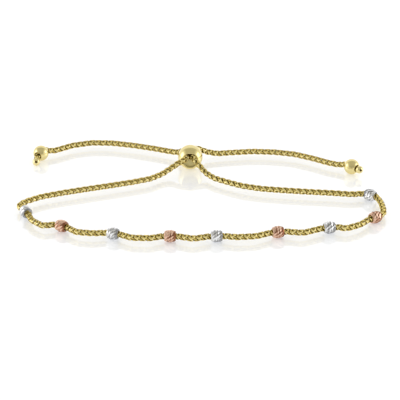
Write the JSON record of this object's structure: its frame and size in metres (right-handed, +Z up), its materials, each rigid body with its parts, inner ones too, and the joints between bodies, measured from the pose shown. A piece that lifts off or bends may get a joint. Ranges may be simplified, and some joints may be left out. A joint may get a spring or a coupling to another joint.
{
  "type": "bolo slider bracelet",
  "caption": "Bolo slider bracelet: a fine braided gold chain threaded with small faceted beads, closed by a ball that slides on both strands, with a ball and stopper on each tail.",
  "frame": {"origin": "middle of the box that the bracelet fills, on the surface that it lies on", "axes": "+Z up from the surface, +X along the long loop towards the viewer's right, +Y from the beaded side towards the slider and the tails"},
  "size_m": [0.0686, 0.0422, 0.0048],
  "materials": {
    "yellow_gold": "polished yellow gold, braided on the chain and smooth on the balls",
    "white_gold": "bright white gold with slanted diamond-cut facets",
    "rose_gold": "bright rose gold with slanted diamond-cut facets",
    "soft_grip": "dull olive-khaki silicone"
  },
  "bodies": {
    "root": {"chain": "yellow_gold", "slider_ball": "yellow_gold", "slider_grip": "soft_grip", "bead_white_1": "white_gold", "bead_rose_1": "rose_gold", "bead_white_2": "white_gold", "bead_rose_2": "rose_gold", "bead_white_3": "white_gold", "bead_rose_3": "rose_gold", "bead_white_4": "white_gold", "bead_rose_4": "rose_gold", "bead_white_5": "white_gold", "end_ball_left": "yellow_gold", "end_ball_right": "yellow_gold", "stopper_left": "yellow_gold", "stopper_right": "yellow_gold"}
  },
  "joints": []
}
